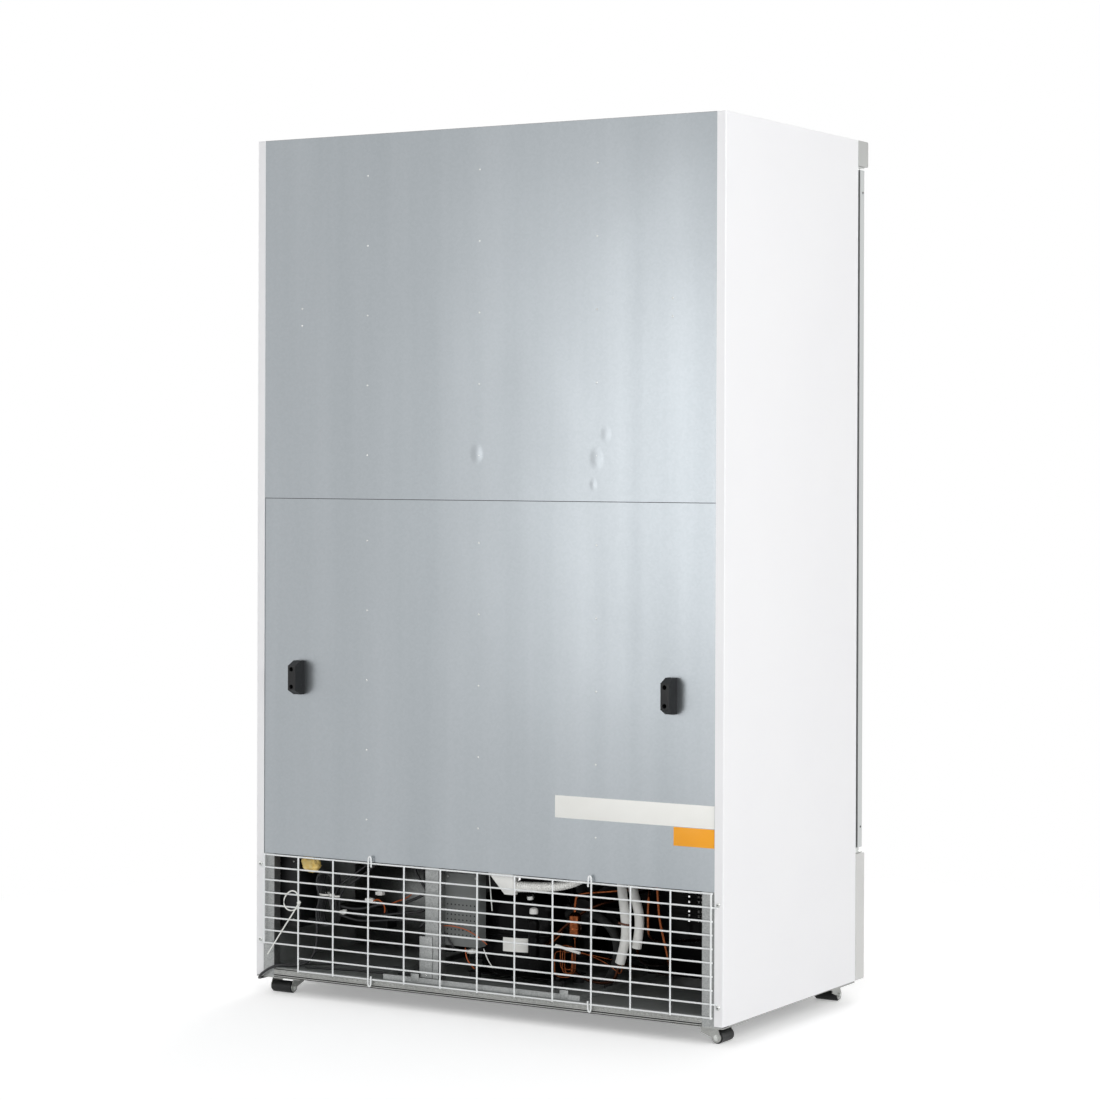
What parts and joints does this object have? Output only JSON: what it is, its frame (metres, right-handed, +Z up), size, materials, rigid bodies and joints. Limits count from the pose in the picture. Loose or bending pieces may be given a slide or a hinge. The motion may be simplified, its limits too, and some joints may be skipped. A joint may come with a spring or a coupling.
{
  "type": "supermarket refrigerator",
  "caption": "Upright glass-door supermarket refrigerator with two swinging doors, wire shelves, an open rear machine compartment and roller casters.",
  "frame": {"origin": "on the floor, in the middle of the footprint (doors, handles and wall spacers included)", "axes": "+Z up, the doors face -Y, the wire guard and the wall spacers face +Y, +X to the right as seen from the doors"},
  "size_m": [1.2551, 0.783, 2.029],
  "materials": {
    "white_coated_steel": "smooth white powder coat",
    "galvanised_steel": "zinc-coated sheet with fine spangle",
    "insulating_foam": "rigid polyurethane foam",
    "grey_moulding": "satin grey moulded plastic",
    "door_aluminium": "anodised aluminium profile",
    "door_glass": "clear toughened double glazing",
    "gasket_rubber": "black magnetic door seal",
    "black_plastic": "black moulded plastic",
    "black_enamel": "black enamel on pressed steel",
    "mount_rubber": "black rubber",
    "copper": "bare drawn copper",
    "foam_sleeve": "white closed-cell foam sleeve",
    "white_plastic": "white moulded plastic",
    "coil_aluminium": "aluminium fins",
    "zinc_hinge": "zinc-plated steel",
    "cord_sheath": "black flexible sheath"
  },
  "bodies": {
    "cabinet": {"side_panel_left": "white_coated_steel", "side_panel_right": "white_coated_steel", "top_panel": "galvanised_steel", "back_panel_upper": "galvanised_steel", "back_panel_lower": "galvanised_steel", "insulation": "insulating_foam", "liner": "white_coated_steel", "front_frame": "grey_moulding", "top_fascia": "grey_moulding", "plinth_grille": "grey_moulding", "base_frame": "galvanised_steel", "base_floor": "galvanised_steel", "rear_posts": "galvanised_steel", "compartment_walls": "galvanised_steel", "wire_guard": "white_coated_steel", "guard_screws": "galvanised_steel", "wall_spacers": "black_plastic", "caster_plates": "galvanised_steel", "hinge_brackets": "zinc_hinge", "shelf_supports": "white_coated_steel", "shelves_level_1": "white_coated_steel", "shelves_level_2": "white_coated_steel", "shelves_level_3": "white_coated_steel", "shelves_level_4": "white_coated_steel", "led_lamps": "white_plastic", "evaporator_cover": "white_coated_steel", "evaporator_coil": "coil_aluminium", "fan_motors": "black_plastic", "compressor": "black_enamel", "compressor_mounts": "mount_rubber", "condenser_coil": "black_enamel", "fan_shroud": "galvanised_steel", "copper_tubes": "copper", "insulated_tubes": "foam_sleeve", "filter_drier": "copper", "drain_hose": "white_plastic", "control_box": "black_plastic", "electrical_box": "galvanised_steel", "lead_hank": "cord_sheath", "power_lead": "cord_sheath", "power_plug": "black_plastic"},
    "door_left": {"door_frame_left": "door_aluminium", "door_glass_left": "door_glass", "door_gasket_left": "gasket_rubber", "door_handle_left": "door_aluminium"},
    "door_right": {"door_frame_right": "door_aluminium", "door_glass_right": "door_glass", "door_gasket_right": "gasket_rubber", "door_handle_right": "door_aluminium"},
    "condenser_fan": {"condenser_fan": "black_plastic"},
    "evaporator_fan_left": {"evaporator_fan_left": "black_plastic"},
    "evaporator_fan_right": {"evaporator_fan_right": "black_plastic"},
    "caster_swivel_rear_right": {"caster_yoke_rear_right": "galvanised_steel"},
    "caster_wheel_rear_right": {"caster_roller_rear_right": "black_plastic"},
    "caster_swivel_rear_left": {"caster_yoke_rear_left": "galvanised_steel"},
    "caster_wheel_rear_left": {"caster_roller_rear_left": "black_plastic"},
    "caster_swivel_front_right": {"caster_yoke_front_right": "galvanised_steel"},
    "caster_wheel_front_right": {"caster_roller_front_right": "black_plastic"},
    "caster_swivel_front_left": {"caster_yoke_front_left": "galvanised_steel"},
    "caster_wheel_front_left": {"caster_roller_front_left": "black_plastic"}
  },
  "joints": [
    {"name": "door_left_hinge", "type": "hinge", "parent": "cabinet", "child": "door_left", "pos_m": [-0.612, -0.3505, 0.357], "axis": [0, 0, 1], "range_deg": [-100, 0]},
    {"name": "door_right_hinge", "type": "hinge", "parent": "cabinet", "child": "door_right", "pos_m": [0.612, -0.3505, 0.357], "axis": [0, 0, 1], "range_deg": [0, 100]},
    {"name": "caster_swivel_rear_right", "type": "hinge", "parent": "cabinet", "child": "caster_swivel_rear_right", "pos_m": [0.5735, 0.2935, 0.033], "axis": [0, 0, 1], "continuous": true},
    {"name": "caster_spin_rear_right", "type": "hinge", "parent": "caster_swivel_rear_right", "child": "caster_wheel_rear_right", "pos_m": [0.5735, 0.3155, 0.014], "axis": [1, 0, 0], "continuous": true},
    {"name": "caster_swivel_rear_left", "type": "hinge", "parent": "cabinet", "child": "caster_swivel_rear_left", "pos_m": [-0.5735, 0.2935, 0.033], "axis": [0, 0, 1], "continuous": true},
    {"name": "caster_spin_rear_left", "type": "hinge", "parent": "caster_swivel_rear_left", "child": "caster_wheel_rear_left", "pos_m": [-0.5955, 0.2935, 0.014], "axis": [0, 1, 0], "continuous": true},
    {"name": "caster_swivel_front_right", "type": "hinge", "parent": "cabinet", "child": "caster_swivel_front_right", "pos_m": [0.5735, -0.2605, 0.033], "axis": [0, 0, 1], "continuous": true},
    {"name": "caster_spin_front_right", "type": "hinge", "parent": "caster_swivel_front_right", "child": "caster_wheel_front_right", "pos_m": [0.5735, -0.2825, 0.014], "axis": [-1, 0, 0], "continuous": true},
    {"name": "caster_swivel_front_left", "type": "hinge", "parent": "cabinet", "child": "caster_swivel_front_left", "pos_m": [-0.5735, -0.2605, 0.033], "axis": [0, 0, 1], "continuous": true},
    {"name": "caster_spin_front_left", "type": "hinge", "parent": "caster_swivel_front_left", "child": "caster_wheel_front_left", "pos_m": [-0.5735, -0.2825, 0.014], "axis": [-1, 0, 0], "continuous": true},
    {"name": "condenser_fan_spin", "type": "hinge", "parent": "cabinet", "child": "condenser_fan", "pos_m": [0, -0.1825, 0.1814], "axis": [0, 1, 0], "continuous": true},
    {"name": "evaporator_fan_left_spin", "type": "hinge", "parent": "cabinet", "child": "evaporator_fan_left", "pos_m": [-0.235, 0.1305, 1.8435], "axis": [0, 0, 1], "continuous": true},
    {"name": "evaporator_fan_right_spin", "type": "hinge", "parent": "cabinet", "child": "evaporator_fan_right", "pos_m": [0.235, 0.1305, 1.8435], "axis": [0, 0, 1], "continuous": true}
  ]
}
